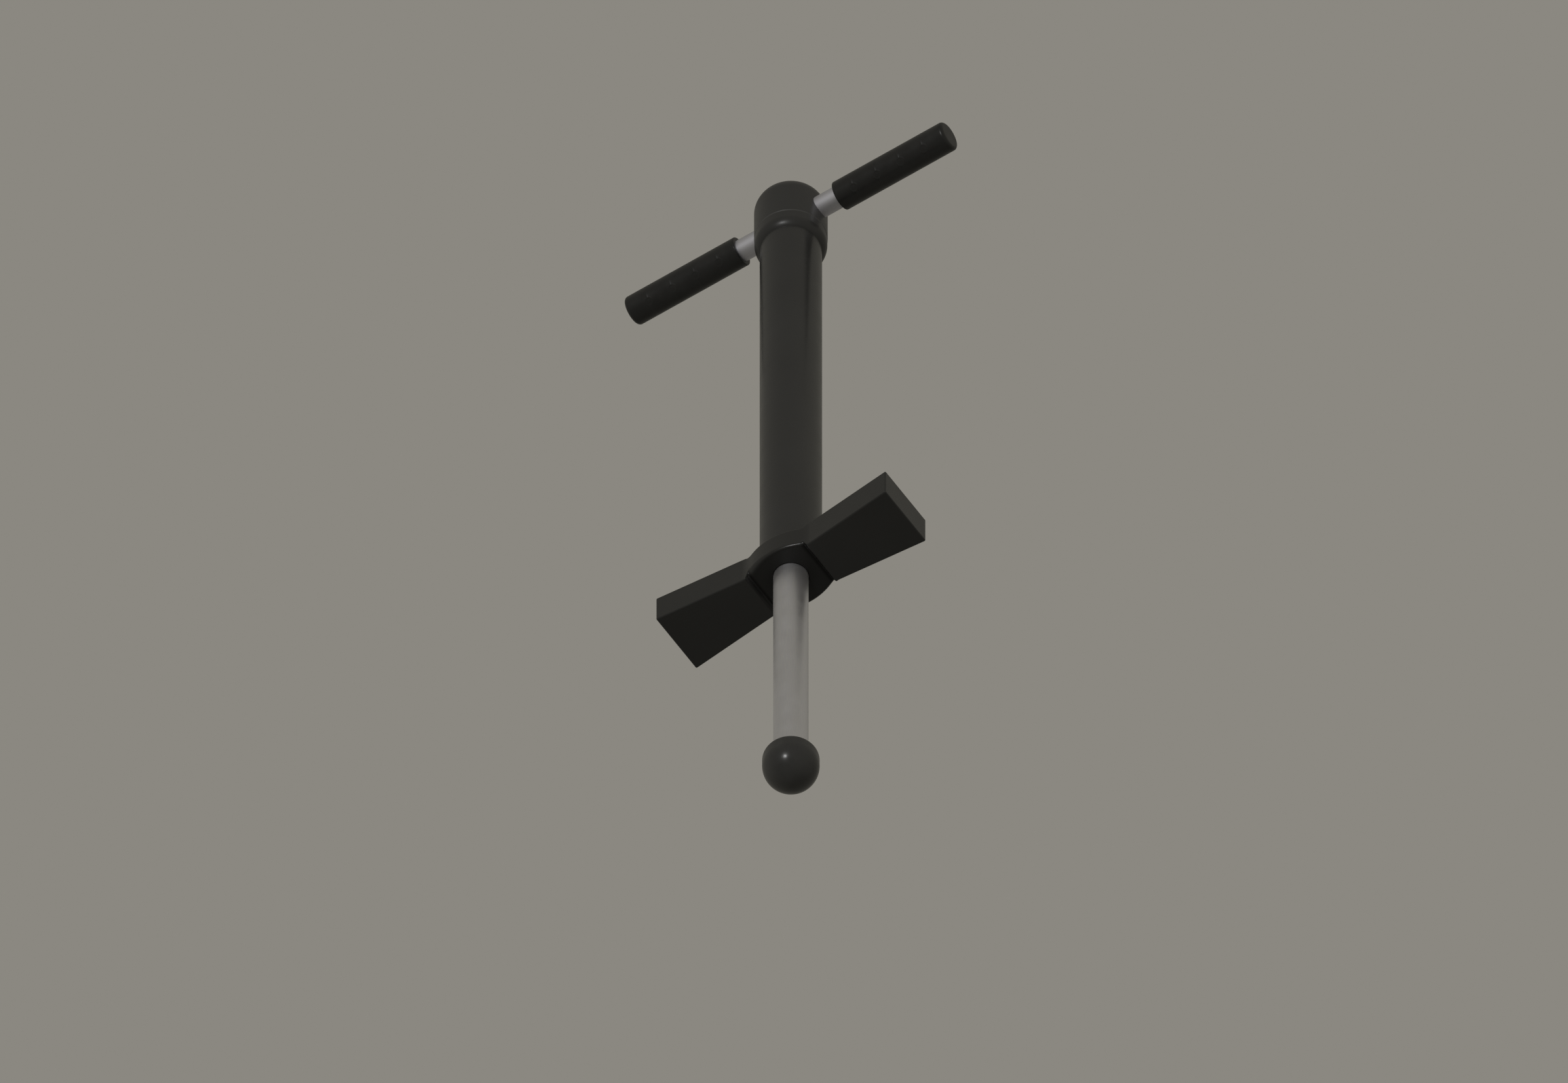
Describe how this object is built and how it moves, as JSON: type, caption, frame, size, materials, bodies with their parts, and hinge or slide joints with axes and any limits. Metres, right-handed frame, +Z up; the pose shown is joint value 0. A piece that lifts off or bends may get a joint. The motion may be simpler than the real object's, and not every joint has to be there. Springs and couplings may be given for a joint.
{
  "type": "pogo stick",
  "caption": "Pogo stick: straight main tube with a domed T-handle head, a wedge-pedal footrest low down, and a sprung round plunger that ends in a ball-shaped rubber tip.",
  "frame": {"origin": "lowest point of the rubber tip, on the main tube's axis, with the plunger fully out", "axes": "+Z up along the main tube, X along the handlebar and the pedals, +Y towards the back, where the screws are"},
  "size_m": [0.368, 0.0713, 0.9855],
  "materials": {
    "tube_paint": "satin dark grey powder coat",
    "head_plastic": "satin dark grey moulded nylon",
    "footrest_plastic": "satin dark grey moulded glass-filled nylon",
    "core_metal": "machined",
    "screw_steel": "black oxide",
    "bar_metal": "satin",
    "rod_metal": "satin, fine ground along the stroke",
    "washer_steel": "zinc plated",
    "pin_steel": "phosphate",
    "spring_steel": "oiled spring steel",
    "plug_plastic": "moulded",
    "bushing_plastic": "natural acetal",
    "grip_rubber": "soft, faint sheen",
    "tread_rubber": "matt",
    "tip_rubber": "smooth with a soft sheen",
    "seal_rubber": "matt",
    "bumper_rubber": "urethane"
  },
  "bodies": {
    "frame": {"outer_tube": "tube_paint", "head_cap": "head_plastic", "head_collar": "head_plastic", "head_core": "core_metal", "handlebar_set_screw": "screw_steel", "handlebar_tube": "bar_metal", "left_bar_plug": "plug_plastic", "right_bar_plug": "plug_plastic", "left_grip": "grip_rubber", "right_grip": "grip_rubber", "upper_spring_seat": "washer_steel", "bottom_out_bumper": "bumper_rubber", "main_spring": "spring_steel", "footrest": "footrest_plastic", "left_tread_pad": "tread_rubber", "right_tread_pad": "tread_rubber", "footrest_screws": "screw_steel", "wiper_seal": "seal_rubber", "lower_bushing": "bushing_plastic", "rebound_bumper": "bumper_rubber"},
    "spring_seat": {"spring_washer": "washer_steel"},
    "plunger": {"plunger_rod": "rod_metal", "rod_top_cap": "plug_plastic", "stop_collar": "bushing_plastic", "collar_pin": "pin_steel", "tip_washer": "washer_steel", "rubber_tip": "tip_rubber"}
  },
  "joints": [
    {"name": "plunger_slide", "type": "slide", "parent": "frame", "child": "spring_seat", "axis": [0, 0, 1], "range_m": [0, 0.2], "stiffness_N_per_m": 6390, "springref_m": -0.02, "deforming": ["main_spring"]},
    {"name": "plunger_spin", "type": "hinge", "parent": "spring_seat", "child": "plunger", "pos_m": [0, 0, 0], "axis": [0, 0, 1], "continuous": true}
  ]
}
